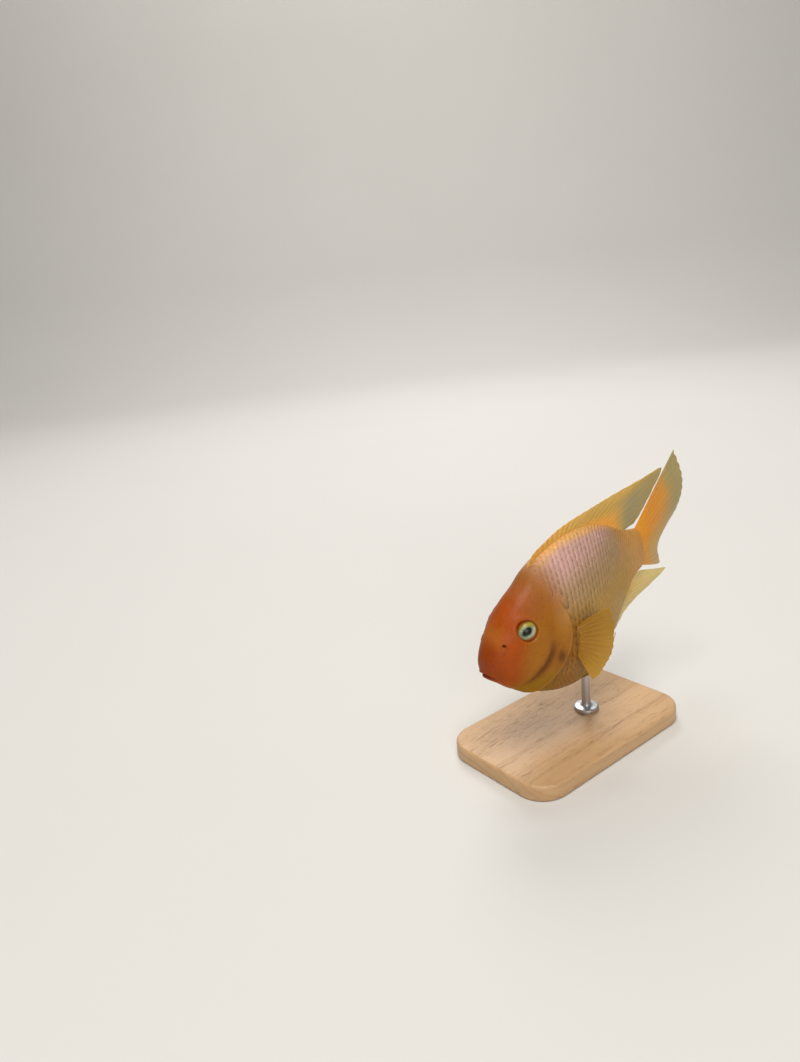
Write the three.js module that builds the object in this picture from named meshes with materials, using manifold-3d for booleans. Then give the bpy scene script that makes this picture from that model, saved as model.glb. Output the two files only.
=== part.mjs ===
// A blood parrot cichlid as a still, life-size display model on a plain stand.
// The fish heads along -X with its left side facing -Y and its nose tipped down.
// The origin is the middle of the underside of the stand's base, +Z is up, and lengths are in mm.
//
// The fish is modelled level in a frame of its own: x runs back from the tip of the mouth, y to the
// fish's right and z up. Its places are shares of the body length. The body is a loft of closed
// rings, each hung between a point of the back line and a point of the belly line, and is then
// parted into head, gill covers, torso and tail. The fins are ribbed vanes rooted in the body.
import * as THREE from "three";
import { mergeVertices } from "three/addons/utils/BufferGeometryUtils.js";
import Module from "manifold-3d";

const wasm = await Module();
wasm.setup();

const { degToRad: rad, lerp: mix, smoothstep: smooth } = THREE.MathUtils;

// Driving dimensions
const bodyLength = 130; // tip of the mouth to the root of the tail fin
const jointGap = 0.3; // clearance between touching pieces
const noseDown = rad(14); // pitch of the fish on its stand
const pivotShare = 0.47; // the place along the body that stands over the middle of the base
const pivotHeight = 76; // height of the fish's long axis over the floor at that place

const baseLength = 120; // stand base, along X
const baseWidth = 74;
const baseThick = 9;
const baseCorner = 16; // radius of the corners in plan
const baseBevel = 1.5;
const rodRadius = 2.5;
const rodFootRadius = 7;
const rodFootThick = 2.5;
const rodShare = 0.52; // where the rod meets the belly, along the body

// Body lines, from the tip of the mouth to just past the tail root. Each station holds the back
// line's x and z, the belly line's x and z, the half width and the roundness of the back.
const stations = [
  [0.006, 0.0, 0.006, 0.0, 0.0, 2.0],
  [0.01, 0.03, 0.013, -0.028, 0.031, 2.1],
  [0.026, 0.071, 0.042, -0.065, 0.058, 2.2],
  [0.074, 0.124, 0.105, -0.139, 0.09, 2.2],
  [0.145, 0.178, 0.185, -0.21, 0.119, 2.15],
  [0.222, 0.219, 0.262, -0.262, 0.136, 2.1],
  [0.292, 0.247, 0.33, -0.298, 0.144, 2.0],
  [0.356, 0.283, 0.4, -0.32, 0.147, 1.9],
  [0.44, 0.304, 0.47, -0.326, 0.144, 1.8],
  [0.56, 0.308, 0.57, -0.312, 0.129, 1.75],
  [0.7, 0.283, 0.69, -0.261, 0.098, 1.75],
  [0.82, 0.222, 0.81, -0.181, 0.06, 1.8],
  [0.915, 0.14, 0.91, -0.116, 0.035, 1.9],
  [1.0, 0.102, 1.0, -0.094, 0.023, 2.0],
  [1.04, 0.1, 1.04, -0.092, 0.021, 2.0],
];
const ringsPerStation = 4;
const sidesPerRing = 36;
const bellyRoundness = 2.1;
const widestShare = 0.47; // height of the widest place, from belly to back

function sideCurve(points) {
  return new THREE.SplineCurve(points.map(([x, z]) => new THREE.Vector2(x * bodyLength, z * bodyLength)));
}

const backLine = sideCurve(stations.map((s) => [s[0], s[1]]));
const bellyLine = sideCurve(stations.map((s) => [s[2], s[3]]));
const widthLine = sideCurve(stations.map((s, i) => [i, s[4]]));
const roundLine = new THREE.SplineCurve(stations.map((s, i) => new THREE.Vector2(i, s[5])));

// A point of the bare body: t runs from the mouth (0) to the tail (1), turn from the back (0) over
// the right side to the belly (half a turn) and on over the left side.
function bodyPoint(t, turn) {
  const back = backLine.getPoint(t);
  const belly = bellyLine.getPoint(t);
  const middle = belly.clone().lerp(back, widestShare);
  const upper = Math.cos(turn) >= 0;
  const power = 2 / (upper ? roundLine.getPoint(t).y : bellyRoundness);
  const at = middle.lerp(upper ? back : belly, Math.abs(Math.cos(turn)) ** power);
  const reach = Math.sign(Math.sin(turn)) * Math.abs(Math.sin(turn)) ** power;
  return new THREE.Vector3(at.x, widthLine.getPoint(t).y * reach, at.y);
}

// How far along the back or belly line a place x of the body lies, by halving
function shareOn(line, x) {
  let low = 0;
  let high = 1;
  for (let i = 0; i < 40; i += 1) {
    const mid = (low + high) / 2;
    if (line.getPoint(mid).x < x) low = mid;
    else high = mid;
  }
  return low;
}

const heightOn = (line, x) => line.getPoint(shareOn(line, x)).y;

// Height of the body's underside at x and y
function undersideAt(x, y) {
  const t = shareOn(bellyLine, x);
  const belly = bellyLine.getPoint(t).y;
  const middle = mix(belly, backLine.getPoint(t).y, widestShare);
  const share = Math.abs(y) / widthLine.getPoint(t).y;
  return middle - (middle - belly) * (1 - share ** bellyRoundness) ** (1 / bellyRoundness);
}

// The place of the flank seen at x, z from the side, with the skin's outward direction there
function skinPlace(x, z, side) {
  let best = { d: Infinity };
  for (let i = 0; i <= 240; i += 1)
    for (let j = 1; j < 60; j += 1) {
      const t = i / 240;
      const turn = (side * Math.PI * j) / 60;
      const p = bodyPoint(t, turn);
      const d = Math.hypot(p.x - x, p.z - z);
      if (d < best.d) best = { d, t, turn, p };
    }
  const step = 0.01; // a short way along and around, for the slope of the skin
  const along = bodyPoint(best.t + step, best.turn).sub(bodyPoint(best.t - step, best.turn));
  const around = bodyPoint(best.t, best.turn + step).sub(bodyPoint(best.t, best.turn - step));
  const outward = along.cross(around).normalize();
  if (outward.y * side < 0) outward.negate();
  return { place: best.p, outward };
}

// Reliefs of the head, each a height over the bare body
const bump = (distance, width) => Math.exp(-((distance / width) ** 2));

const mouthSlope = rad(30); // the mouth line runs back and down
const mouthLength = 7.5;
const mouthWidth = 5.6; // half width of the slit
const mouthOpen = 1.25; // half height of the slit
const mouthAhead = 0.6; // the slit's middle ahead of the tip of the mouth
const lipOffset = 2.2; // from the mouth line to the crest of each lip
const lipWidth = 1.3;
const lipHeight = 0.6;
const lipFade = 4; // over which the lips run out behind the mouth's corner

function lipRelief(p) {
  const along = p.x * Math.cos(mouthSlope) - p.z * Math.sin(mouthSlope);
  const across = p.x * Math.sin(mouthSlope) + p.z * Math.cos(mouthSlope);
  const reach = smooth(mouthLength + lipFade / 2 - along, 0, lipFade);
  return lipHeight * bump(Math.abs(across) - lipOffset, lipWidth) * reach;
}

const eyeX = 0.19 * bodyLength;
const eyeZ = 0.118 * bodyLength;
const eyeRadius = 5.6;
const eyeThick = 4.4; // half the ball's thickness through the pupil
const eyeDepth = 2.9; // the ball's centre under the skin
const orbitRise = 0.5; // the skin's ring round the eye
const orbitWidth = 1.8;

function orbitRelief(p) {
  return orbitRise * bump(Math.hypot(p.x - eyeX, p.z - eyeZ) - eyeRadius, orbitWidth);
}

// The rear edge of the gill cover in side view, from over the nape to under the throat, and the
// fold between cheek and gill cover
const gillEdge = sideCurve([
  [0.34, 0.4],
  [0.35, 0.25],
  [0.37, 0.14],
  [0.375, 0.05],
  [0.347, -0.03],
  [0.3, -0.085],
  [0.24, -0.128],
  [0.18, -0.168],
  [0.12, -0.23],
  [0.08, -0.34],
]);
const cheekFold = sideCurve([
  [0.25, 0.22],
  [0.27, 0.16],
  [0.283, 0.08],
  [0.276, 0.0],
  [0.24, -0.055],
  [0.185, -0.088],
  [0.13, -0.118],
  [0.085, -0.16],
]);
const gillTop = 0.16 * bodyLength; // below this height the edge stands free of the body
const gillRise = 0.9;
const gillRiseWidth = 8;
const gillDrop = 1.0;
const gillDropWidth = 6;
const foldDepth = 0.7;
const foldWidth = 2.2;

function distanceTo(curve, p) {
  const steps = 28;
  let best = Infinity;
  for (let i = 0; i <= steps; i += 1) {
    const q = curve.getPoint(i / steps);
    best = Math.min(best, Math.hypot(p.x - q.x, p.z - q.y));
  }
  return best;
}

function gillRelief(p, piece) {
  const free = smooth(gillTop - p.z, 0, 10);
  const d = distanceTo(gillEdge, p);
  if (piece === "torso") return -free * gillDrop * bump(d, gillDropWidth);
  return free * (gillRise * bump(d, gillRiseWidth) - foldDepth * bump(distanceTo(cheekFold, p), foldWidth));
}

// The body's skin as a closed mesh, with the reliefs of the head or of the torso, moved outwards
// by extra
function bodyGeometry(piece, extra) {
  const rings = (stations.length - 1) * ringsPerStation;
  const positions = bodyPoint(0, 0).toArray();
  for (let r = 1; r <= rings; r += 1)
    for (let s = 0; s < sidesPerRing; s += 1)
      positions.push(...bodyPoint(r / rings, (s / sidesPerRing) * Math.PI * 2).toArray());
  const last = positions.length / 3;
  const end = backLine.getPoint(1).lerp(bellyLine.getPoint(1), 0.5);
  positions.push(end.x, 0, end.y);
  const at = (ring, side) => 1 + (ring - 1) * sidesPerRing + (side % sidesPerRing);
  const faces = [];
  for (let s = 0; s < sidesPerRing; s += 1) {
    faces.push(0, at(1, s), at(1, s + 1));
    faces.push(last, at(rings, s + 1), at(rings, s));
    for (let r = 1; r < rings; r += 1) {
      faces.push(at(r, s), at(r + 1, s), at(r + 1, s + 1));
      faces.push(at(r, s), at(r + 1, s + 1), at(r, s + 1));
    }
  }
  const geometry = new THREE.BufferGeometry();
  geometry.setAttribute("position", new THREE.Float32BufferAttribute(positions, 3));
  geometry.setIndex(faces);
  geometry.computeVertexNormals();
  const position = geometry.getAttribute("position");
  const normal = geometry.getAttribute("normal");
  for (let i = 0; i < position.count; i += 1) {
    const p = new THREE.Vector3().fromBufferAttribute(position, i);
    const n = new THREE.Vector3().fromBufferAttribute(normal, i);
    p.addScaledVector(n, extra + lipRelief(p) + orbitRelief(p) + gillRelief(p, piece));
    position.setXYZ(i, p.x, p.y, p.z);
  }
  return geometry;
}

// Solids for cutting and joining
function solid(geometry) {
  const bare = geometry.clone();
  bare.deleteAttribute("normal");
  bare.deleteAttribute("uv");
  const merged = mergeVertices(bare, 1e-4);
  return new wasm.Manifold(
    new wasm.Mesh({
      numProp: 3,
      vertProperties: new Float32Array(merged.getAttribute("position").array),
      triVerts: new Uint32Array(merged.index.array),
    }),
  );
}

function largest(made) {
  return made.decompose().sort((a, b) => b.volume() - a.volume())[0];
}

function geometryOf(made) {
  const { vertProperties, triVerts, numProp } = made.getMesh();
  const positions = [];
  for (let i = 0; i < vertProperties.length; i += numProp)
    positions.push(...vertProperties.subarray(i, i + 3));
  const geometry = new THREE.BufferGeometry();
  geometry.setAttribute("position", new THREE.Float32BufferAttribute(positions, 3));
  geometry.setIndex(new THREE.BufferAttribute(new Uint32Array(triVerts), 1));
  return geometry;
}

const wide = 80; // beyond the fish on every side of a cutting prism

// A prism across the fish between y0 and y1 from an outline in side view
function sidePrism(outline, y0 = -wide, y1 = wide) {
  const shape = new THREE.Shape(outline);
  const geometry = new THREE.ExtrudeGeometry(shape, { depth: y1 - y0, bevelEnabled: false });
  geometry.rotateX(Math.PI / 2);
  geometry.translate(0, y1, 0);
  return solid(geometry);
}

function box(x0, x1, z0 = -wide, z1 = wide) {
  const corners = [[x0, z0], [x1, z0], [x1, z1], [x0, z1]];
  return sidePrism(corners.map(([x, z]) => new THREE.Vector2(x, z)));
}

// Points along a side-view curve, moved by shift to its right-hand side
function besides(curve, shift, steps = 28) {
  const points = [];
  for (let i = 0; i <= steps; i += 1) {
    const tangent = curve.getTangent(i / steps);
    const aside = new THREE.Vector2(tangent.y, -tangent.x);
    points.push(curve.getPoint(i / steps).addScaledVector(aside, shift));
  }
  return points;
}

// Everything on one side of the gill edge as far as x, the edge moved forward by shift
function gillSide(x, shift) {
  const far = [new THREE.Vector2(x, -wide), new THREE.Vector2(x, wide)];
  return sidePrism([...besides(gillEdge, shift), ...far]);
}

// The two sheets of a gill cover, one each side, between the cheek fold and the gill edge. With
// grow the space is cleared all round the sheet, and well past the gill edge.
const coverThick = 1.8;
const coverInner = 3; // the covers end this far from the middle of the throat
const pastEdge = 2;

function coverZone(side, grow) {
  const rear = besides(gillEdge, grow > 0 ? -pastEdge : jointGap / 2);
  const front = besides(cheekFold, grow).reverse();
  const near = coverInner - grow;
  const top = gillTop + grow;
  const sheet = side < 0
    ? sidePrism([...rear, ...front], -wide, -near)
    : sidePrism([...rear, ...front], near, wide);
  return sheet.intersect(box(-wide, bodyLength, -wide, top));
}

const headBody = solid(bodyGeometry("head", 0));
const torsoBody = solid(bodyGeometry("torso", 0));
const clearBody = solid(bodyGeometry("head", jointGap))
  .intersect(gillSide(-wide, -jointGap))
  .add(solid(bodyGeometry("torso", jointGap)));
const underCovers = solid(bodyGeometry("head", -coverThick));
const underGap = solid(bodyGeometry("head", -coverThick - jointGap));

// Eyes: flattened balls set square to the skin
function eyeGeometry(side, extra) {
  const { place, outward } = skinPlace(eyeX, eyeZ, side);
  const geometry = new THREE.SphereGeometry(1, 20, 10);
  geometry.scale(eyeRadius + extra, eyeThick + extra, eyeRadius + extra);
  geometry.applyQuaternion(new THREE.Quaternion().setFromUnitVectors(new THREE.Vector3(0, 1, 0), outward));
  const centre = place.addScaledVector(outward, -eyeDepth);
  geometry.translate(centre.x, centre.y, centre.z);
  return geometry;
}

function mouthSlit() {
  const geometry = new THREE.SphereGeometry(1, 24, 12);
  geometry.scale(mouthLength, mouthWidth, mouthOpen);
  geometry.rotateY(mouthSlope);
  geometry.translate(-mouthAhead, 0, 0);
  return solid(geometry);
}

const nostrilX = 0.088 * bodyLength;
const nostrilZ = 0.102 * bodyLength;
const nostrilRadius = 0.95;

function nostril(side) {
  const { place } = skinPlace(nostrilX, nostrilZ, side);
  const geometry = new THREE.SphereGeometry(nostrilRadius, 10, 8);
  geometry.translate(place.x, place.y, place.z);
  return solid(geometry);
}

// Fins: a ribbed vane between a root line and an edge line. Every even column is a ray that stands
// proud of the membrane on both faces, every odd one is the membrane between two rays. at gives the
// middle of the vane for u across the rays and v from root to edge, and both faces are split alike.
// rootRound is the share of the root's thickness that its two ends lose.
function finSolid({ rays, rows, at, rootHalf, rootRound = 0 }) {
  const edgeHalf = 0.3;
  const ridge = 0.28; // of a ray over the membrane at its root
  const ridgeFade = 0.6; // share of the ridge lost towards the tip
  const taper = 0.45;
  const columns = (rays - 1) * 2;
  const faceA = [];
  const faceB = [];
  const step = 1e-3;
  for (let c = 0; c <= columns; c += 1)
    for (let r = 0; r <= rows; r += 1) {
      const u = c / columns;
      const v = r / rows;
      const onRay = c % 2 === 0;
      const alongU = at(Math.min(u + step, 1), v, true).sub(at(Math.max(u - step, 0), v, true));
      const alongV = at(u, Math.min(v + step, 1), true).sub(at(u, Math.max(v - step, 0), true));
      const across = alongU.cross(alongV).normalize();
      const root = rootHalf * (1 - rootRound * (1 - Math.sqrt(1 - (2 * u - 1) ** 2)));
      const half = mix(root, edgeHalf, v ** taper) + (onRay ? ridge * (1 - ridgeFade * v) : 0);
      const p = at(u, v, onRay);
      faceA.push(p.clone().addScaledVector(across, half));
      faceB.push(p.addScaledVector(across, -half));
    }
  const rowLength = rows + 1;
  const faces = [];
  const quad = (a, b, c, d) => faces.push(a, b, c, a, c, d);
  const id = (c, r) => c * rowLength + r;
  const other = (c, r) => faceA.length + id(c, r);
  for (let c = 0; c < columns; c += 1) {
    for (let r = 0; r < rows; r += 1) {
      quad(id(c, r), id(c + 1, r), id(c + 1, r + 1), id(c, r + 1));
      faces.push(other(c, r), other(c + 1, r + 1), other(c + 1, r));
      faces.push(other(c, r), other(c, r + 1), other(c + 1, r + 1));
    }
    quad(id(c + 1, 0), id(c, 0), other(c, 0), other(c + 1, 0));
    quad(id(c, rows), id(c + 1, rows), other(c + 1, rows), other(c, rows));
  }
  for (let r = 0; r < rows; r += 1) {
    quad(id(0, r), id(0, r + 1), other(0, r + 1), other(0, r));
    quad(id(columns, r + 1), id(columns, r), other(columns, r), other(columns, r + 1));
  }
  const geometry = new THREE.BufferGeometry();
  const positions = [...faceA, ...faceB].flatMap((p) => p.toArray());
  geometry.setAttribute("position", new THREE.Float32BufferAttribute(positions, 3));
  geometry.setIndex(faces);
  const made = solid(geometry);
  if (made.volume() > 0) return made;
  for (let i = 0; i < faces.length; i += 3) [faces[i + 1], faces[i + 2]] = [faces[i + 2], faces[i + 1]];
  geometry.setIndex(faces);
  return solid(geometry);
}

const sunk = 4; // how deep a fin's root lies in the body before the body is cut from it
const notch = 0.04; // share by which the membrane falls short of the ray tips
const middleNotch = 0.015; // the same where the rays lie almost along the edge

// A fin in the fish's middle plane: roots along the back or belly line, ray tips along an edge
// curve, with the rays bowed towards the outside
function middleFin({ line, inward, rootFrom, rootTo, edge, reach }) {
  const bow = 0.02; // share of a ray's length
  return (u, v, onRay) => {
    const x = mix(rootFrom, rootTo, u) * bodyLength;
    const root = new THREE.Vector2(x, heightOn(line, x) + inward * sunk);
    const tip = edge.getPoint(reach(u));
    const at = root.clone().lerp(tip, onRay ? v : v * (1 - middleNotch));
    const side = tip.sub(root);
    const lift = bow * Math.sin(v * Math.PI);
    return new THREE.Vector3(at.x + side.y * lift * inward, 0, at.y - side.x * lift * inward);
  };
}

// Back fin: low spines laid back, then soft rays drawn out into a trailing point
const dorsalSpineShare = 0.55; // share of the root that carries spines
const dorsalEdge = sideCurve([
  [0.345, 0.272],
  [0.395, 0.322],
  [0.5, 0.338],
  [0.62, 0.342],
  [0.76, 0.334],
  [0.88, 0.319],
  [1.0, 0.305],
  [1.12, 0.292],
  [1.25, 0.277],
  [1.175, 0.217],
  [1.11, 0.175],
  [1.055, 0.142],
  [1.005, 0.122],
]);
const dorsalSpineReach = 0.38; // how far along the edge curve the spines end
const dorsalTipReach = 0.66;
const dorsalTipShare = 0.82; // the ray that makes the trailing point

function dorsalReach(u) {
  if (u < dorsalSpineShare) return 0.01 + (dorsalSpineReach - 0.01) * (u / dorsalSpineShare);
  const share = smooth(u, dorsalSpineShare, dorsalTipShare);
  if (u < dorsalTipShare) return mix(dorsalSpineReach, dorsalTipReach, share);
  return mix(dorsalTipReach, 1, (u - dorsalTipShare) / (1 - dorsalTipShare));
}

// Anal fin: the same plan under the tail, shorter
const analEdge = sideCurve([
  [0.65, -0.292],
  [0.7, -0.3],
  [0.76, -0.272],
  [0.83, -0.238],
  [0.93, -0.222],
  [1.03, -0.216],
  [1.15, -0.2],
  [1.087, -0.164],
  [1.035, -0.137],
  [0.985, -0.112],
]);
const analTipReach = 0.667;
const analTipShare = 0.7;

function analReach(u) {
  if (u < analTipShare) return mix(0.02, analTipReach, u / analTipShare);
  return mix(analTipReach, 1, (u - analTipShare) / (1 - analTipShare));
}

// Tail fin: a fan with a hollow rear edge whose lower rays swing to the right. Each row holds a
// ray's angle over the body's axis, its length and its swing, from the uppermost ray to the lowest.
const caudalRootHalf = 0.093 * bodyLength;
const caudalRays = [
  [33, 53.5, -2],
  [25, 51.5, -3],
  [17, 49.5, -3.5],
  [9.5, 47, 0],
  [2.5, 44, 9.5],
  [-4.5, 41, 23],
  [-12.5, 38.5, 36],
  [-22, 37.5, 42.5],
  [-32, 40.5, 40],
];
const caudalFan = new THREE.SplineCurve(caudalRays.map((row) => new THREE.Vector2(row[0], row[1])));
const caudalSwing = new THREE.SplineCurve(caudalRays.map((row, i) => new THREE.Vector2(i, row[2])));
const tiny = 1e-6; // keeps a straight ray's swing from being nothing

function caudalAt(u, v, onRay) {
  const ray = caudalFan.getPoint(u);
  const fan = rad(ray.x);
  const length = ray.y * v * (onRay ? 1 : 1 - notch * v);
  const swing = rad(caudalSwing.getPoint(u).y) * v + tiny;
  const reach = (length * Math.sin(swing)) / swing;
  const side = (length * (1 - Math.cos(swing))) / swing;
  const rootX = bodyLength + jointGap;
  const rootZ = (1 - 2 * u) * caudalRootHalf;
  return new THREE.Vector3(rootX + reach * Math.cos(fan), side, rootZ + reach * Math.sin(fan));
}

// Breast fins: wide open fans low behind the gill covers
const pectoralX = 0.363 * bodyLength;
const pectoralZ = -0.04 * bodyLength;
const pectoralRootHalf = 5;
const pectoralLength = 25.5;
const pectoralUpper = rad(18);
const pectoralLower = rad(-96);
const pectoralFlare = rad(20); // from the flank at the root
const pectoralCurl = rad(10); // more of it towards the tips
const pectoralLowerShort = 0.25; // share by which the lowest ray is shorter
const pectoralUpperShort = 0.08;
const pectoralRootBow = 1.5;
const pectoralSunk = 3;

function pectoralAt(side) {
  const { place } = skinPlace(pectoralX, pectoralZ, side);
  return (u, v, onRay) => {
    const fan = mix(pectoralUpper, pectoralLower, u);
    const shape = 1 - pectoralLowerShort * u ** 2 - pectoralUpperShort * (1 - u) ** 4;
    const length = pectoralLength * shape * v * (onRay ? 1 : 1 - notch * v);
    const outward = pectoralFlare + pectoralCurl * v;
    const rootX = place.x + pectoralRootBow * (2 * u - 1) ** 2;
    const rootZ = place.z + (1 - 2 * u) * pectoralRootHalf;
    return new THREE.Vector3(
      rootX + length * Math.cos(outward) * Math.cos(fan),
      place.y + side * (length * Math.sin(outward) - pectoralSunk),
      rootZ + length * Math.cos(outward) * Math.sin(fan),
    );
  };
}

// Belly fins: narrow, laid back close under the belly on either side of the rod
const pelvicX = 0.4 * bodyLength;
const pelvicRootLength = 5; // from the outer ray's root to the inner ray's
const pelvicLength = 35; // of the outer ray
const pelvicInnerShare = 0.5; // the inner ray's share of that
const pelvicOuterY = 8.5;
const pelvicInnerY = 5.2;
const pelvicSpread = 1.5; // of the outer ray's tip to the side
const pelvicHang = 3.8; // of the tips under the skin
const pelvicSunk = 2.5;
const pelvicLeave = 1.6; // how soon the rays leave the skin

function pelvicAt(side) {
  return (u, v, onRay) => {
    const length = pelvicLength * mix(1, pelvicInnerShare, u ** 0.8) * (onRay ? 1 : 1 - notch * v);
    const x = pelvicX + pelvicRootLength * u + length * v;
    const y = mix(pelvicOuterY + pelvicSpread * v, pelvicInnerY, u);
    const hang = mix(-pelvicSunk, pelvicHang, Math.min(1, pelvicLeave * v) ** 0.7);
    return new THREE.Vector3(x, side * y, undersideAt(x, y) - hang);
  };
}

// The fish's pieces, still level
const rearBody = torsoBody.intersect(gillSide(bodyLength, -jointGap / 2));
const tailCut = 0.86 * bodyLength;

const pieces = {
  torso: rearBody.intersect(box(-wide, tailCut - jointGap / 2)),
  tail_peduncle: rearBody.intersect(box(tailCut + jointGap / 2, bodyLength)),
};
let headSolid = headBody.intersect(gillSide(-wide, jointGap / 2)).subtract(mouthSlit());
for (const [name, side] of [["left", -1], ["right", 1]]) {
  headSolid = headSolid
    .subtract(solid(eyeGeometry(side, jointGap)))
    .subtract(nostril(side))
    .subtract(coverZone(side, jointGap).subtract(underGap));
  pieces[`eye_${name}`] = solid(eyeGeometry(side, 0));
  pieces[`gill_cover_${name}`] = largest(headBody.intersect(coverZone(side, 0)).subtract(underCovers));
}
pieces.head = largest(headSolid);

const fins = {
  fin_dorsal: {
    rays: 28,
    rows: 9,
    at: middleFin({
      line: backLine,
      inward: -1,
      rootFrom: 0.345,
      rootTo: 0.885,
      edge: dorsalEdge,
      reach: dorsalReach,
    }),
    rootHalf: 1.6,
  },
  fin_anal: {
    rays: 15,
    rows: 8,
    at: middleFin({
      line: bellyLine,
      inward: 1,
      rootFrom: 0.65,
      rootTo: 0.885,
      edge: analEdge,
      reach: analReach,
    }),
    rootHalf: 1.5,
  },
};
for (const [name, side] of [["left", -1], ["right", 1]]) {
  fins[`fin_pectoral_${name}`] = { rays: 14, rows: 8, at: pectoralAt(side), rootHalf: 1.2 };
  fins[`fin_pelvic_${name}`] = { rays: 6, rows: 8, at: pelvicAt(side), rootHalf: 1.1 };
}
for (const [name, plan] of Object.entries(fins))
  pieces[name] = largest(finSolid(plan).subtract(clearBody));
pieces.fin_caudal = finSolid({
  rays: 17,
  rows: 12,
  at: caudalAt,
  rootHalf: 2.6,
  rootRound: 0.8,
});

// Finishes
function finish(color, roughness, metalness = 0) {
  return new THREE.MeshStandardMaterial({ color, roughness, metalness });
}
const finishes = {
  head: finish(0xd9692a, 0.42),
  gill_cover: finish(0xd0632a, 0.42),
  torso: finish(0xd99a72, 0.4),
  tail: finish(0xe09a4a, 0.42),
  eye: finish(0xd9d2a0, 0.15),
  fin: finish(0xeab04a, 0.5),
  stand_base: finish(0xcaa778, 0.5),
  stand_rod: finish(0xb9bcc0, 0.3, 1),
};

function meshOf(name, geometry) {
  const look = Object.keys(finishes).find((start) => name.startsWith(start));
  const mesh = new THREE.Mesh(geometry, finishes[look]);
  mesh.name = name;
  return mesh;
}

// Stand: a flat base with round corners, and one rod with a foot, up to the belly
function baseGeometry() {
  const x = baseLength / 2 - baseCorner;
  const y = baseWidth / 2 - baseCorner;
  const shape = new THREE.Shape();
  shape.absarc(x, -y, baseCorner, -Math.PI / 2, 0);
  shape.absarc(x, y, baseCorner, 0, Math.PI / 2);
  shape.absarc(-x, y, baseCorner, Math.PI / 2, Math.PI);
  shape.absarc(-x, -y, baseCorner, Math.PI, Math.PI * 1.5);
  const geometry = new THREE.ExtrudeGeometry(shape, {
    depth: baseThick - 2 * baseBevel,
    bevelThickness: baseBevel,
    bevelSize: baseBevel,
    bevelOffset: -baseBevel,
    bevelSegments: 2,
    curveSegments: 7,
  });
  geometry.translate(0, 0, baseBevel);
  return geometry;
}

function rodSolid(fishFrame) {
  const x = rodShare * bodyLength;
  const belly = new THREE.Vector3(x, 0, heightOn(bellyLine, x)).applyMatrix4(fishFrame);
  const foot = baseThick + jointGap;
  const profile = [
    [0, foot],
    [rodFootRadius, foot],
    [rodFootRadius, foot + rodFootThick - 1],
    [rodFootRadius - 1, foot + rodFootThick],
    [rodRadius, foot + rodFootThick],
    [rodRadius, belly.z + rodRadius + sunk],
    [0, belly.z + rodRadius + sunk],
  ];
  const geometry = new THREE.LatheGeometry(profile.map(([r, z]) => new THREE.Vector2(r, z)), 24);
  geometry.rotateX(Math.PI / 2);
  geometry.translate(belly.x, 0, 0);
  const placedBody = solid(geometryOf(clearBody).applyMatrix4(fishFrame));
  return largest(solid(geometry).subtract(placedBody));
}

const model = new THREE.Group();
const fish = new THREE.Group();
fish.rotation.y = -noseDown;
const pivot = new THREE.Vector3(pivotShare * bodyLength, 0, 0).applyEuler(fish.rotation);
fish.position.set(-pivot.x, 0, pivotHeight - pivot.z);
fish.updateMatrixWorld(true);
for (const [name, made] of Object.entries(pieces)) fish.add(meshOf(name, geometryOf(made)));
model.add(fish);
model.add(meshOf("stand_base", geometryOf(solid(baseGeometry()))));
model.add(meshOf("stand_rod", geometryOf(rodSolid(fish.matrixWorld))));

export default model;
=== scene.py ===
import math

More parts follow.
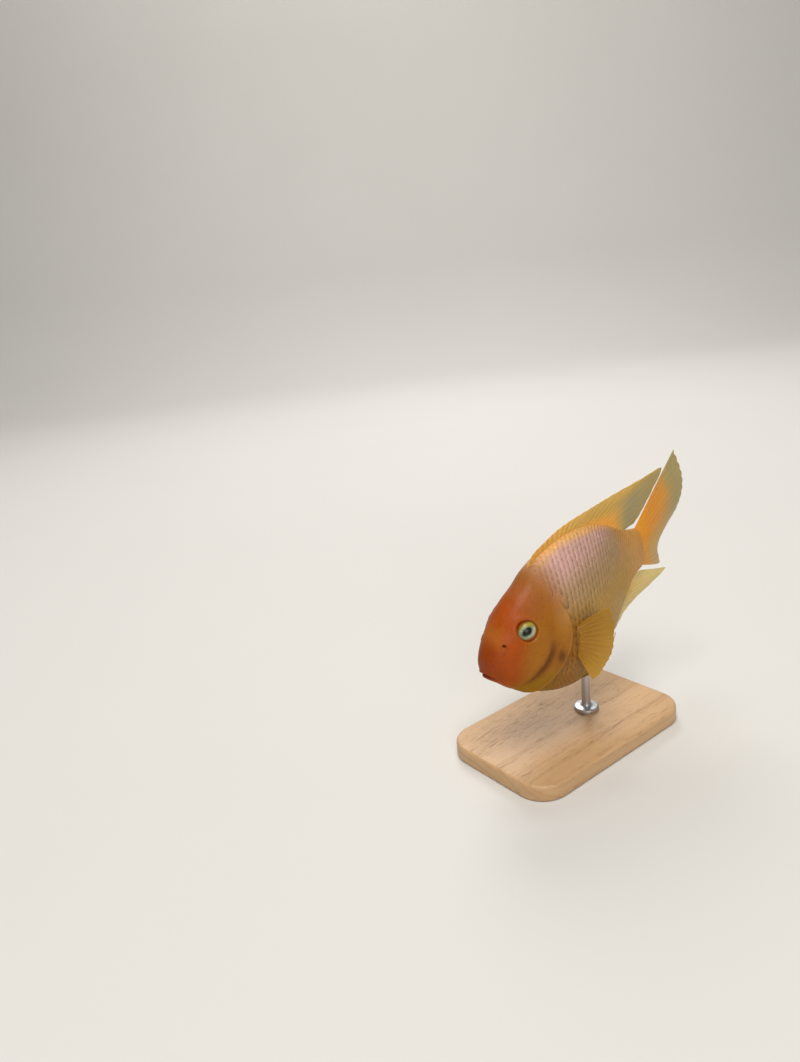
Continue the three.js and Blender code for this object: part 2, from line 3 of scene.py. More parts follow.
import bpy
import numpy as np
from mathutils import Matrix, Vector


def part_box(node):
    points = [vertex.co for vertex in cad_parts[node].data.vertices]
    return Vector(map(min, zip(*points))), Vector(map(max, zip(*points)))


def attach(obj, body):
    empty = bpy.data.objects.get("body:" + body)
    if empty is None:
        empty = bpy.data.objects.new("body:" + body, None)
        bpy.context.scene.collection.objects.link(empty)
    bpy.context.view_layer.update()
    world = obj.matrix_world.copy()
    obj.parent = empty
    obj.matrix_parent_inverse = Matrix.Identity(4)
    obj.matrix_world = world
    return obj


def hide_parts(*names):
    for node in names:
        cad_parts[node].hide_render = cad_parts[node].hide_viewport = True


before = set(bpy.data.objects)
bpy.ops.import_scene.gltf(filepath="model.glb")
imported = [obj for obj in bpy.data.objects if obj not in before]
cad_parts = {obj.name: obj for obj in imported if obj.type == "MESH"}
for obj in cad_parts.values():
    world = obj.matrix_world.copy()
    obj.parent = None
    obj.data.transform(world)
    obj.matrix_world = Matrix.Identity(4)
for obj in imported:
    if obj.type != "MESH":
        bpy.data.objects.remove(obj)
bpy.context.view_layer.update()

# A blood parrot cichlid on a plain stand. Its shapes are worked out level, in a frame of the fish's
# own, in millimetres: x runs back from the tip of the mouth, y to the fish's right and z up.
fish = {
    "length": 130.0,  # tip of the mouth to the root of the tail fin
    "noseDown": 14.0,  # degrees
    "pivotShare": 0.47,  # the place along the body over the middle of the stand
    "pivotHeight": 76.0,
    # back line x and z, belly line x and z, half width and roundness of the back, as shares of the
    # length, with a rounded end inside the root of the tail fin
    "stations": [
        (0.006, 0.0, 0.006, 0.0, 0.0, 2.0),
        (0.01, 0.03, 0.013, -0.028, 0.031, 2.1),
        (0.026, 0.071, 0.042, -0.065, 0.058, 2.2),
        (0.074, 0.124, 0.105, -0.139, 0.09, 2.2),
        (0.145, 0.178, 0.185, -0.21, 0.119, 2.15),
        (0.222, 0.219, 0.262, -0.262, 0.136, 2.1),
        (0.292, 0.247, 0.33, -0.298, 0.144, 2.0),
        (0.356, 0.283, 0.4, -0.32, 0.147, 1.9),
        (0.44, 0.304, 0.47, -0.326, 0.144, 1.8),
        (0.56, 0.308, 0.57, -0.312, 0.129, 1.75),
        (0.7, 0.283, 0.69, -0.261, 0.098, 1.75),
        (0.82, 0.222, 0.81, -0.181, 0.06, 1.8),
        (0.915, 0.14, 0.91, -0.116, 0.035, 1.9),
        (0.995, 0.103, 0.995, -0.095, 0.022, 2.0),
        (1.028, 0.088, 1.028, -0.08, 0.012, 2.0),
        (1.045, 0.0, 1.045, 0.0, 0.0, 2.0),
    ],
    "bellyRoundness": 2.1,
    "widestShare": 0.47,  # height of the widest place, from belly to back
    "gillEdge": [  # rear edge of the gill cover, from over the nape to under the throat
        (0.34, 0.4), (0.35, 0.25), (0.37, 0.14), (0.375, 0.05), (0.347, -0.03),
        (0.3, -0.085), (0.24, -0.128), (0.18, -0.168), (0.12, -0.23), (0.08, -0.34),
    ],
    "cheekFold": [  # between cheek and gill cover
        (0.25, 0.22), (0.268, 0.16), (0.276, 0.08), (0.26, 0.01),
        (0.222, -0.038), (0.17, -0.072), (0.12, -0.105), (0.08, -0.15),
    ],
    "gillShade": (0.282, -0.052),  # middle of painted shade in a hollow low on the gill cover
    "eye": (0.19, 0.118),  # x and z
    "nostril": (0.088, 0.102),
}
length = fish["length"]
metre = 1000.0  # millimetres in one
slope = math.radians(fish["noseDown"])


def deselectAll():
    if bpy.context.object and bpy.context.object.mode != "OBJECT":
        bpy.ops.object.mode_set(mode="OBJECT")
    bpy.ops.object.select_all(action="DESELECT")


def faceOutwards(merge=0.0):
    # turns the active mesh's faces outwards, once corners nearer than merge are one
    bpy.ops.object.mode_set(mode="EDIT")
    bpy.ops.mesh.select_all(action="SELECT")
    if merge:
        bpy.ops.mesh.remove_doubles(threshold=merge)
    bpy.ops.mesh.normals_make_consistent(inside=False)
    bpy.ops.object.mode_set(mode="OBJECT")


def pickEdges(mesh, wanted):
    # leaves the active mesh in edit mode with only the edges selected whose two ends are wanted
    bpy.ops.object.mode_set(mode="EDIT")
    bpy.ops.mesh.select_mode(type="EDGE")
    bpy.ops.mesh.select_all(action="DESELECT")
    bpy.ops.object.mode_set(mode="OBJECT")
    for edge in mesh.edges:
        edge.select = bool(wanted(*[mesh.vertices[i].co for i in edge.vertices]))
    bpy.ops.object.mode_set(mode="EDIT")


def onStand(points):
    # from the level fish to its place on the stand, in metres
    points = np.asarray(points, float)
    x = points[:, 0] - fish["pivotShare"] * length
    z = points[:, 2]
    cos, sin = math.cos(slope), math.sin(slope)
    placed = np.stack([cos * x - sin * z, points[:, 1], sin * x + cos * z + fish["pivotHeight"]], 1)
    return placed / metre


def spline(points, share):
    # a smooth curve through evenly timed points
    points = np.asarray(points, float)
    place = np.clip(np.asarray(share, float), 0, 1) * (len(points) - 1)
    start = np.minimum(place.astype(int), len(points) - 2)
    part = (place - start)[:, None]
    before = points[np.maximum(start - 1, 0)]
    here = points[start]
    after = points[start + 1]
    beyond = points[np.minimum(start + 2, len(points) - 1)]
    leave = (after - before) / 2
    arrive = (beyond - here) / 2
    cubic = (2 * here - 2 * after + leave + arrive) * part**3
    return cubic + (3 * after - 3 * here - 2 * leave - arrive) * part**2 + leave * part + here


def smooth(value, low, high):
    share = np.clip((value - low) / (high - low), 0, 1)
    return share * share * (3 - 2 * share)


def bump(distance, width):
    return np.exp(-((distance / width) ** 2))


stations = np.array(fish["stations"])
backLine = stations[:, 0:2] * length
bellyLine = stations[:, 2:4] * length
widthAndRound = stations[:, 4:6] * (length, 1)


def barePoints(share, turn):
    # share runs from mouth to tail, turn from the back over the right side round to the back
    back, belly = spline(backLine, share), spline(bellyLine, share)
    section = spline(widthAndRound, share)
    middle = belly + (back - belly) * fish["widestShare"]
    upper = np.cos(turn) >= 0
    power = 2 / np.where(upper, section[:, 1], fish["bellyRoundness"])
    rise = (np.abs(np.cos(turn)) ** power)[:, None]
    at = middle + (np.where(upper[:, None], back, belly) - middle) * rise
    reach = np.sign(np.sin(turn)) * np.abs(np.sin(turn)) ** power
    return np.stack([at[:, 0], section[:, 0] * reach, at[:, 1]], 1)


def outwards(share, turn):
    stepShare, stepTurn = 0.002, 0.02
    share = np.clip(share, stepShare, 1 - stepShare)
    along = barePoints(share + stepShare, turn) - barePoints(share - stepShare, turn)
    around = barePoints(share, turn + stepTurn) - barePoints(share, turn - stepTurn)
    normal = np.cross(along, around)
    return normal / np.maximum(np.linalg.norm(normal, axis=1), 1e-9)[:, None]


def besideCurve(points, curve, steps=90):
    # distance from a curve in side view, positive ahead of it
    line = spline(np.array(curve) * length, np.linspace(0, 1, steps))
    best = np.full(len(points), 1e9)
    sign = np.ones(len(points))
    flat = points[:, [0, 2]]
    for start, end in zip(line[:-1], line[1:]):
        run = end - start
        off = flat - start
        part = np.clip(off @ run / (run @ run), 0, 1)
        gap = np.linalg.norm(off - part[:, None] * run, axis=1)
        nearer = gap < best
        best = np.where(nearer, gap, best)
        sign = np.where(nearer, np.sign(run[1] * off[:, 0] - run[0] * off[:, 1]), sign)
    return best * sign


# Reliefs of the head, each a height over the bare body
relief = {
    "mouthSlope": 30.0,  # degrees, back and down
    "mouthLength": 7.5,
    "mouthWidth": 5.6,
    "mouthBow": 0.035,  # how far its corners droop, per square millimetre
    "slitWidth": 0.4,
    "slitDepth": 2.0,
    "slitEnd": (0.6, 1.1),  # where it fades out, with 1 at the corner of the mouth
    "lipOffset": 1.4,
    "lipWidth": 0.8,
    "lipHeight": 0.5,
    "lipEnd": (0.9, 1.35),
    "socketWall": (4.6, 5.4),  # from the eye's middle
    "socketDepth": 2.8,
    "orbitRadius": 6.3,
    "orbitRise": 0.35,
    "orbitWidth": 1.2,
    "nostrilWall": (0.35, 0.9),
    "nostrilDepth": 1.3,
    "nostrilRimRadius": 1.125,
    "nostrilRimRise": 0.28,
    "nostrilRimWidth": 0.45,
    "gillTop": 0.16,  # a share of the length, over which the cover's edge fades into the body
    "gillTopFade": 10.0,
    "gillRise": 0.9,
    "gillRiseWidth": 8.0,
    "gillDrop": 1.0,
    "gillDropWidth": 6.0,
    "gillWall": (-0.3, 0.25),
    "foldDepth": 0.55,
    "foldWidth": 1.8,
    "foldTop": (-0.02, 0.05),  # shares of the length between which it fades
    "foldFade": 0.85,
    "cheekRise": 0.5,
    "cheekWall": (0.0, 1.8),
    "cheekWidth": 7.0,
    "ribWidth": 1.9,  # from one rib under the gill cover to the next
    "ribRise": 0.16,
    "ribTop": (0.05, 0.1),  # under the fish's axis, as shares of the length
    "ribRear": (0.6, 1.4),  # ahead of the cover's edge
    "ribFront": (6.0, 9.0),
}


def mouthPlace(points):
    angle = math.radians(relief["mouthSlope"])
    along = points[:, 0] * math.cos(angle) - points[:, 2] * math.sin(angle)
    across = points[:, 0] * math.sin(angle) + points[:, 2] * math.cos(angle)
    return along, across + relief["mouthBow"] * points[:, 1] ** 2


def landmarks(points):
    # how far each point is from the head's features
    eyeX, eyeZ = fish["eye"][0] * length, fish["eye"][1] * length
    noseX, noseZ = fish["nostril"][0] * length, fish["nostril"][1] * length
    along, across = mouthPlace(points)
    corner = np.hypot(along / relief["mouthLength"], points[:, 1] / relief["mouthWidth"])
    return {
        "eye": np.hypot(points[:, 0] - eyeX, points[:, 2] - eyeZ),
        "nostril": np.hypot(points[:, 0] - noseX, points[:, 2] - noseZ),
        "mouthAcross": across,
        "mouthCorner": corner,
        "slit": 1 - smooth(corner, *relief["slitEnd"]),
        "gill": besideCurve(points, fish["gillEdge"]),
        "fold": besideCurve(points, fish["cheekFold"]),
        "free": smooth(relief["gillTop"] * length - points[:, 2], 0, relief["gillTopFade"]),
        "low": 1 - relief["foldFade"] * smooth(points[:, 2] / length, *relief["foldTop"]),
    }


def headRelief(points, marks):
    r = relief
    lips = r["lipHeight"] * bump(np.abs(marks["mouthAcross"]) - r["lipOffset"], r["lipWidth"])
    height = lips * (1 - smooth(marks["mouthCorner"], *r["lipEnd"]))
    height -= marks["slit"] * r["slitDepth"] * bump(marks["mouthAcross"], r["slitWidth"])
    eye, nostril = marks["eye"], marks["nostril"]
    height += r["orbitRise"] * bump(eye - r["orbitRadius"], r["orbitWidth"])
    height -= r["socketDepth"] * (1 - smooth(eye, *r["socketWall"]))
    height += r["nostrilRimRise"] * bump(nostril - r["nostrilRimRadius"], r["nostrilRimWidth"])
    height -= r["nostrilDepth"] * (1 - smooth(nostril, *r["nostrilWall"]))
    fold, folded = marks["fold"], marks["free"] * marks["low"]
    height -= folded * r["foldDepth"] * bump(fold, r["foldWidth"])
    height += folded * r["cheekRise"] * smooth(fold, *r["cheekWall"]) * bump(fold, r["cheekWidth"])
    gill = marks["gill"]
    low = smooth(-points[:, 2] / length, *r["ribTop"]) * smooth(gill, *r["ribRear"])
    ribs = np.cos(2 * math.pi * gill / r["ribWidth"]) * (1 - smooth(gill, *r["ribFront"])) * low
    return height + r["ribRise"] * ribs


def gillStep(marks, covered=True):
    # the cover stands over the torso behind it
    r, gill = relief, marks["gill"]
    torso = -r["gillDrop"] * bump(gill, r["gillDropWidth"])
    if not covered:
        return marks["free"] * torso
    cover = r["gillRise"] * bump(gill, r["gillRiseWidth"])
    inside = smooth(gill, *r["gillWall"])
    return marks["free"] * (inside * cover + (1 - inside) * torso)


def skinPoints(share, turn, lift=0.0, tucked=False):
    # the skin's surface; a tucked point runs on under the gill cover
    points = barePoints(share, turn)
    marks = landmarks(points)
    height = gillStep(marks, not tucked) + lift
    if not tucked:
        height = height + headRelief(points, marks)
    return points + outwards(share, turn) * np.reshape(height, (-1, 1)), marks


print("shapes ready")


# Shader maths: a Wire is a node's output, a Finish is a material being built
class Wire:
    def __init__(self, finish, socket):
        self.finish = finish
        self.socket = socket

    def maths(self, operation, first, second):
        return self.finish.add("ShaderNodeMath", {"operation": operation}, {0: first, 1: second})

    def __add__(self, other):
        return self.maths("ADD", self, other)

    def __radd__(self, other):
        return self.maths("ADD", other, self)

    def __sub__(self, other):
        return self.maths("SUBTRACT", self, other)

    def __rsub__(self, other):
        return self.maths("SUBTRACT", other, self)

    def __mul__(self, other):
        return self.maths("MULTIPLY", self, other)

    def __truediv__(self, other):
        return self.maths("DIVIDE", self, other)

    def __pow__(self, other):
        return self.maths("POWER", self, other)


class Finish:
    def __init__(self, name):
        self.material = bpy.data.materials.new(name)
        self.material.use_nodes = True
        self.tree = self.material.node_tree
        self.tree.nodes.clear()

    def add(self, kind, settings=None, values=None, out=0):
        # a node of that kind: its settings first, then the values or links of its sockets
        node = self.tree.nodes.new(kind)
        for name, value in (settings or {}).items():
            setattr(node, name, value)
        for name, value in (values or {}).items():
            if isinstance(value, Wire):
                self.tree.links.new(value.socket, node.inputs[name])
            else:
                node.inputs[name].default_value = value
        return Wire(self, node.outputs[out])

    def attribute(self, name):
        return self.add("ShaderNodeAttribute", {"attribute_name": name}, out=2)

    def step(self, value, low, high):
        values = {"Value": value, "From Min": low, "From Max": high}
        return self.add("ShaderNodeMapRange", {"interpolation_type": "SMOOTHSTEP"}, values)

    def fade(self, value, first, last):
        # from 0 at first to 1 at last, which may be the lower of the two
        if first < last:
            return self.step(value, first, last)
        return 1 - self.step(value, last, first)

    def noise(self, vector, scale, detail=3.0, roughness=0.55):
        values = {"Vector": vector, "Scale": scale, "Detail": detail, "Roughness": roughness}
        return self.add("ShaderNodeTexNoise", None, values)

    def colour(self, first, second, share, mode="MIX"):
        settings = {"data_type": "RGBA", "blend_type": mode}
        return self.add("ShaderNodeMix", settings, {0: share, 6: first, 7: second}, out=2)

    def relief(self, height, distance, normal=None):
        values = {"Height": height, "Distance": distance}
        if normal:
            values["Normal"] = normal
        return self.add("ShaderNodeBump", None, values)

    def objectPlace(self):
        return self.add("ShaderNodeTexCoord", out=3)

    def parts(self, vector):
        first = self.add("ShaderNodeSeparateXYZ", None, {0: vector})
        outputs = first.socket.node.outputs
        return [Wire(self, outputs[i]) for i in range(3)]

    def join(self, x, y, z):
        return self.add("ShaderNodeCombineXYZ", None, {0: x, 1: y, 2: z})

    def surface(self, values):
        return self.add("ShaderNodeBsdfPrincipled", None, values)

    def close(self, shader):
        output = self.tree.nodes.new("ShaderNodeOutputMaterial")
        self.tree.links.new(shader.socket, output.inputs["Surface"])
        return self.material


def tint(red, green, blue):
    # a screen colour as the light values that shaders take
    def linear(value):
        value /= 255
        return value / 12.92 if value <= 0.04045 else ((value + 0.055) / 1.055) ** 2.4

    return (linear(red), linear(green), linear(blue), 1.0)


def alongFish(finish):
    # object coordinates turned level, as shares of the fish's length from the tip of its mouth
    scale = metre / length
    height = fish["pivotHeight"] / length
    origin = (fish["pivotShare"] - math.sin(slope) * height, 0, -math.cos(slope) * height)
    values = {
        "Vector": finish.objectPlace(),
        "Location": origin,
        "Rotation": (0, slope, 0),
        "Scale": (scale, scale, scale),
    }
    return finish.add("ShaderNodeMapping", None, values)


skinLook = {
    "face": tint(160, 70, 4),
    "snout": tint(142, 58, 3),
    # painted highlight: the front of the forehead paler, where the light from above falls
    "browHighlight": tint(214, 140, 56),
    "nape": tint(150, 84, 36),
    "cheek": tint(158, 98, 20),
    "throat": tint(150, 106, 8),
    # painted highlight: a pale lilac band where the light from above reflects off the upper flank
    "paintedSheen": tint(220, 172, 160),
    "flank": tint(188, 150, 106),
    "lowFlank": tint(204, 152, 48),
    "belly": tint(150, 122, 16),
    "behindGill": tint(134, 84, 2),
    "ridge": tint(252, 190, 112),
    "tailRoot": tint(224, 160, 80),
    "tailEnd": tint(228, 152, 56),
    # painted shade: dark red-brown in the cheek's fold, under the gill cover's edge and in a hollow on
    # it
    "creaseShade": tint(70, 27, 4),
    # painted shade: dark inside the mouth's slit and in the nostril pits
    "mouth": tint(66, 18, 8),
    # painted highlight: a pale glint along the gill cover's lower edge
    "rim": tint(190, 136, 70),
    "freckle": tint(96, 30, 4),
    # painted sheen: each scale's free edge made paler
    "scaleEdgeSheen": tint(255, 214, 150),
    "scaleTint": tint(140, 82, 40),
}

# Lines that the markings follow, in lengths of the fish
skinLines = {
    "drift": 0.05,  # how far noise moves a marking
    "amber": (0.42, -0.08),  # the middle of the dark amber behind the gill cover, x and z
    "amberHeight": 0.8,
    "backTop": (0.53, 0.309),
    "backBend": 0.9,
    "slants": {"face": 0.55, "browHighlight": 0.5, "snout": 0.4},
}

# Each marking over those before it: its strength, and along which lines it fades in, from and to
skinZones = [
    ("flank", 1.0, [("z", -0.02, 0.15)]),
    ("belly", 1.0, [("z", -0.10, -0.27)]),
    ("behindGill", 1.0, [("amber", 0.18, 0.05)]),
    # painted highlight: the lilac band along the upper flank
    ("paintedSheen", 1.0, [("z", 0.13, 0.24), ("x", 0.22, 0.44), ("x", 0.92, 0.74)]),
    ("tailRoot", 1.0, [("x", 0.78, 0.93)]),
    ("ridge", 1.0, [("back", -0.04, -0.004), ("x", 0.30, 0.48)]),
    ("tailEnd", 1.0, [("x", 0.96, 1.02)]),
    ("cheek", 1.0, [("x", 0.46, 0.29)]),
    ("nape", 1.0, [("z", 0.09, 0.19), ("x", 0.46, 0.20)]),
    ("throat", 1.0, [("z", -0.05, -0.13), ("x", 0.34, 0.20)]),
    ("face", 1.0, [("face", 0.18, 0.07)]),
    # painted highlight on the front of the forehead
    ("browHighlight", 0.75, [("z", 0.07, 0.13), ("browHighlight", 0.05, 0.0)]),
    ("snout", 1.0, [("snout", 0.07, 0.0)]),
]


def skinColour(finish):
    # the fish's markings and its painted shade and highlights, by place along and up the body
    look, course = skinLook, skinLines
    place = alongFish(finish)
    x, _, z = finish.parts(place)
    x = x + (finish.noise(place, 9.0, 3.0) - 0.5) * course["drift"]
    z = z + (finish.noise(place, 5.0, 2.0) - 0.5) * course["drift"]
    lines = {name: x - z * slant for name, slant in course["slants"].items()}
    lines["x"], lines["z"] = x, z
    back, up = x - course["amber"][0], z - course["amber"][1]
    lines["amber"] = (back * back + up * up * course["amberHeight"]) ** 0.5
    topX, topZ = course["backTop"]
    lines["back"] = z - (topZ - (x - topX) * (x - topX) * course["backBend"])
    colour = look["lowFlank"]
    for name, strength, fades in skinZones:
        share = strength
        for line, first, last in fades:
            share = finish.fade(lines[line], first, last) * share
        colour = finish.colour(colour, look[name], share)
    # painted shade at the fold, under the gill cover's edge and in the hollow
    colour = finish.colour(colour, look["creaseShade"], finish.attribute("creaseShade"))
    # painted highlight: the glint along the gill cover's lower edge
    colour = finish.colour(colour, look["rim"], finish.attribute("rim"))
    speck = finish.step(finish.noise(place, 95.0, 3.0, 0.6), 0.56, 0.70)
    head = 1 - finish.step(x, 0.28, 0.42)
    colour = finish.colour(colour, look["freckle"], speck * head * 0.22)
    # painted shade inside the mouth's slit and the nostril pits
    colour = finish.colour(colour, look["mouth"], finish.attribute("mouthShade"))
    mottle = finish.noise(place, 30.0, 5.0, 0.6) * 0.6 + 0.7
    grey = finish.join(mottle, mottle, mottle)
    return place, finish.colour(colour, grey, 0.5, "MULTIPLY")


def skinFinish():
    finish = Finish("skin")
    place, colour = skinColour(finish)
    # painted sheen: paler towards each scale's free edge
    colour = finish.colour(colour, skinLook["scaleEdgeSheen"], finish.attribute("scaleEdgeSheen") * 0.08)
    colour = finish.colour(colour, skinLook["scaleTint"], finish.attribute("scaleTint") * 0.10)
    pores = finish.add("ShaderNodeTexVoronoi", {"feature": "F1"}, {"Vector": place, "Scale": 150.0})
    dimples = finish.step(pores, 0.0, 0.5)
    grain = finish.noise(place, 60.0, 5.0, 0.6)
    normal = finish.relief(dimples, 0.00007)
    normal = finish.relief(grain, 0.00035, normal)
    rough = 0.36 + finish.noise(place, 40.0, 4.0) * 0.24
    shader = finish.surface({
        "Base Color": colour,
        "Roughness": rough,
        "Normal": normal,
        "Specular IOR Level": 0.14,
        "Subsurface Weight": 0.05,
        "Subsurface Radius": (1.0, 0.4, 0.18),
        "Subsurface Scale": 0.003,
        "Coat Weight": 0.08,
        "Coat Roughness": 0.2,
    })
    return finish.close(shader)


def nameMarks(mesh, name, values):
    mark = mesh.attributes.new(name, "FLOAT", "POINT")
    mark.data.foreach_set("value", np.asarray(values, np.float32))


skinMarks = {
    # painted shade in the fold, under the gill cover's edge and in a hollow, and a painted glint on the
    # cover's edge: strength, distance ahead of the fold, gill cover's edge or hollow's middle, and width
    "creaseShade": (0.7, -0.3, 2.6),
    "shadow": (0.4, -1.0, 1.2),
    # painted highlight: the glint just ahead of the gill cover's edge
    "rim": (0.6, 0.7, 0.6),
    "hollowShade": (0.7, 0.0, 4.0),
    "hollowNarrow": 1.4,
    "creaseFoot": (-0.13, -0.06),  # heights between which it fades in, as shares of the length
    "mouthShade": (0.2, 0.7),
    "nostrilShade": (0.4, 0.95),
    "pitShare": 0.7,
}


def stripe(name, distance):
    strength, ahead, width = skinMarks[name]
    return strength * bump(distance - ahead, width)


def markSkin(mesh, points, marks):
    look = skinMarks
    # painted shade: the mouth's slit and the nostril pits darkened, both carried by one attribute
    inside = marks["slit"] * (1 - smooth(np.abs(marks["mouthAcross"]), *look["mouthShade"]))
    nostrilShade = look["pitShare"] * (1 - smooth(marks["nostril"], *look["nostrilShade"]))
    low = marks["free"] * marks["low"]
    # painted shade along the fold, in the hollow and under the gill cover's edge
    creaseShade = low * stripe("creaseShade", marks["fold"]) * smooth(points[:, 2] / length, *look["creaseFoot"])
    shadeX, shadeZ = fish["gillShade"][0] * length, fish["gillShade"][1] * length
    away = np.hypot((points[:, 0] - shadeX) * look["hollowNarrow"], points[:, 2] - shadeZ)
    shadow = marks["free"] * stripe("shadow", marks["gill"])
    nameMarks(mesh, "mouthShade", np.maximum(inside, nostrilShade))
    nameMarks(mesh, "creaseShade", np.clip(np.maximum(creaseShade, stripe("hollowShade", away)) + shadow, 0, 1))
    # painted highlight: where the glint lies on the gill cover's lower edge
    nameMarks(mesh, "rim", low * stripe("rim", marks["gill"]))


def finished(piece, nodes, material):
    # the calls that every piece of the model needs
    piece.data.materials.clear()
    piece.data.materials.append(material)
    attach(piece, "root")
    if nodes:
        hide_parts(*nodes)


skinMesh = {"sides": 256, "rings": 360}


def makeSkin(material):
    deselectAll()
    bpy.ops.mesh.primitive_uv_sphere_add(segments=skinMesh["sides"], ring_count=skinMesh["rings"])
    skin = bpy.context.object
    skin.name = "fishSkin"
    ball = np.array([vertex.co for vertex in skin.data.vertices])
    share = np.arccos(np.clip(ball[:, 2], -1, 1)) / math.pi
    turn = np.arctan2(ball[:, 1], ball[:, 0])
    points, marks = skinPoints(share, turn)
    skin.data.vertices.foreach_set("co", onStand(points).ravel())
    markSkin(skin.data, points, marks)
    bpy.ops.object.shade_smooth()
    skin.data.update()
    flesh = ["head", "gill_cover_left", "gill_cover_right", "torso", "tail_peduncle"]
    finished(skin, flesh, material)


skinMaterial = skinFinish()
makeSkin(skinMaterial)
print("skin made")


# Scales: one thin plate, copied in staggered rows that overlap towards the tail
scales = {
    "rimPoints": 14,
    "thickness": 0.05,
    "dome": 0.03,
    "seed": 4,
    "rows": 56,  # round the body
    "pitch": 3.1,  # from one scale to the next along a row, at the deepest place
    "length": 2.3,  # of a scale, in pitches
    "width": 2.4,  # of a scale, in rows
    "rearLift": 0.06,
    "frontSink": 0.09,
    "fadeSink": 0.12,  # where the cover ends
    "leastCover": 0.03,
    "jitter": 0.04,
    "gillEdge": (-0.4, 0.2),  # behind the gill cover's edge
    "napeEdge": (0.27, 0.36),
    "napeFade": 0.04,
    "tailEdge": (0.99, 1.035),
}


def scalePlate():
    # along the row, across it and up, in pitches, rows and millimetres; its corners, faces and
    # how near each corner is to the free edge
    deselectAll()
    bpy.ops.mesh.primitive_circle_add(vertices=scales["rimPoints"], radius=1.0, fill_type="TRIFAN")
    plate = bpy.context.object
    bpy.ops.object.mode_set(mode="EDIT")
    bpy.ops.mesh.select_all(action="SELECT")
    bpy.ops.mesh.extrude_region_move(TRANSFORM_OT_translate={"value": (0, 0, scales["thickness"])})
    faceOutwards()
    corners = np.array([vertex.co for vertex in plate.data.vertices])
    faces = [list(face.vertices) for face in plate.data.polygons]
    bpy.data.objects.remove(plate)
    rim = np.hypot(corners[:, 0], corners[:, 1])
    top = corners[:, 2] > scales["thickness"] / 2
    rise = (corners[:, 0] + 1) / 2  # 0 at the front, 1 at the free edge
    corners[:, 0] *= scales["length"] / 2
    corners[:, 1] *= scales["width"] / 2
    corners[:, 2] += rise * (scales["rearLift"] + scales["frontSink"]) - scales["frontSink"]
    corners[:, 2] -= scales["dome"] * rim**2
    return corners, faces, np.where(top, rise * rim**3, 0)


def bodyCover(points, marks):
    # 1 where the body's scales lie, fading out over the nape and the root of the tail fin
    x, z, top = points[:, 0] / length, points[:, 2] / length, relief["gillTop"]
    behind = smooth(-marks["gill"], *scales["gillEdge"])
    nape = smooth(x, *scales["napeEdge"]) * smooth(z, top, top + scales["napeFade"])
    return np.maximum(behind, nape) * (1 - smooth(x, *scales["tailEdge"]))


def makeScales(material):
    plate, faces, edge = scalePlate()
    table = np.linspace(0, 1, 1200)
    flank = barePoints(table, np.full(len(table), math.pi / 2))
    depth = np.linalg.norm(spline(backLine, table) - spline(bellyLine, table), axis=1)
    step = np.linalg.norm(np.diff(flank, axis=0), axis=1)
    pitch = scales["pitch"] * np.clip(depth / depth.max(), 0.3, 1) ** 0.5
    count = np.concatenate([[0], np.cumsum(step / pitch[1:])])
    rng = np.random.default_rng(scales["seed"])
    number, row = np.meshgrid(np.arange(int(count[-1])), np.arange(scales["rows"]))
    centres = np.stack([(number + 0.5 * (row % 2)).ravel(), row.ravel()], 1).astype(float)
    centres += rng.uniform(-scales["jitter"], scales["jitter"], centres.shape)
    turnPerRow = 2 * math.pi / scales["rows"]
    at = barePoints(np.interp(centres[:, 0], count, table), centres[:, 1] * turnPerRow)
    cover = bodyCover(at, landmarks(at))
    kept = cover > scales["leastCover"]
    centres, cover = centres[kept], cover[kept]
    copies, corners = len(centres), len(plate)
    along = (centres[:, None, 0] + plate[None, :, 0]).ravel()
    across = (centres[:, None, 1] + plate[None, :, 1]).ravel() * turnPerRow
    sink = np.repeat((1 - cover) * (scales["rearLift"] + scales["fadeSink"]), corners)
    lift = np.tile(plate[:, 2], copies) - sink
    share = np.interp(along, count, table)
    points, marks = skinPoints(share, across, lift, True)
    mesh = bpy.data.meshes.new("fishScales")
    offsets = np.arange(copies) * corners
    allFaces = [[corner + offset for corner in face] for offset in offsets for face in faces]
    mesh.from_pydata(onStand(points).tolist(), [], allFaces)
    piece = bpy.data.objects.new("fishScales", mesh)
    bpy.context.scene.collection.objects.link(piece)
    markSkin(mesh, points, marks)
    # painted sheen: how strongly each corner is paled towards the scale's free edge
    nameMarks(mesh, "scaleEdgeSheen", np.tile(edge, copies) * np.repeat(cover, corners))
    nameMarks(mesh, "scaleTint", np.repeat(rng.random(copies), corners))
    bakeMap(mesh, share, across / (2 * math.pi), np.repeat(offsets, corners))
    mesh.shade_smooth()
    finished(piece, [], material)
    print("scales made:", copies)


def bakeMap(mesh, share, turns, roots):
    # each plate is a small patch at its root's place on the unwrapped skin
    patch, margin, reach = 0.003, 0.01, 1 / 30
    rootShare, rootTurn = share[roots], turns[roots]
    u = margin + rootShare * (1 - 2 * margin) + np.clip((share - rootShare) / reach, -1, 1) * patch / 2
    v = margin + np.mod(rootTurn, 1) * (1 - 2 * margin)
    v += np.clip((turns - rootTurn) / reach, -1, 1) * patch / 2
    layer = mesh.uv_layers.new(name="OFBake")
    corners = np.zeros(len(mesh.loops), np.int32)
    mesh.loops.foreach_get("vertex_index", corners)
    layer.data.foreach_set("uv", np.stack([u[corners], v[corners]], 1).astype(np.float32).ravel())


makeScales(skinMaterial)


# Eyes: a flattened ball set square to the skin, its iris and pupil drawn by place on its face
eye = {
    "radius": 5.6,
    "halfThick": 4.4,
    "depth": 3.0,  # the ball's centre under the skin
    "cornea": 0.2,  # how much the clear front bulges
    "tilt": 17.0,  # degrees of the pupil's long axis, in the eye's face
    "pupil": (2.9, 1.75),  # half length and half width
    "pupilAt": (-1.2, 0.55),  # backwards and up from the middle
    "iris": (5.4, 3.9),
    "irisAt": (-0.5, 0.6),
}


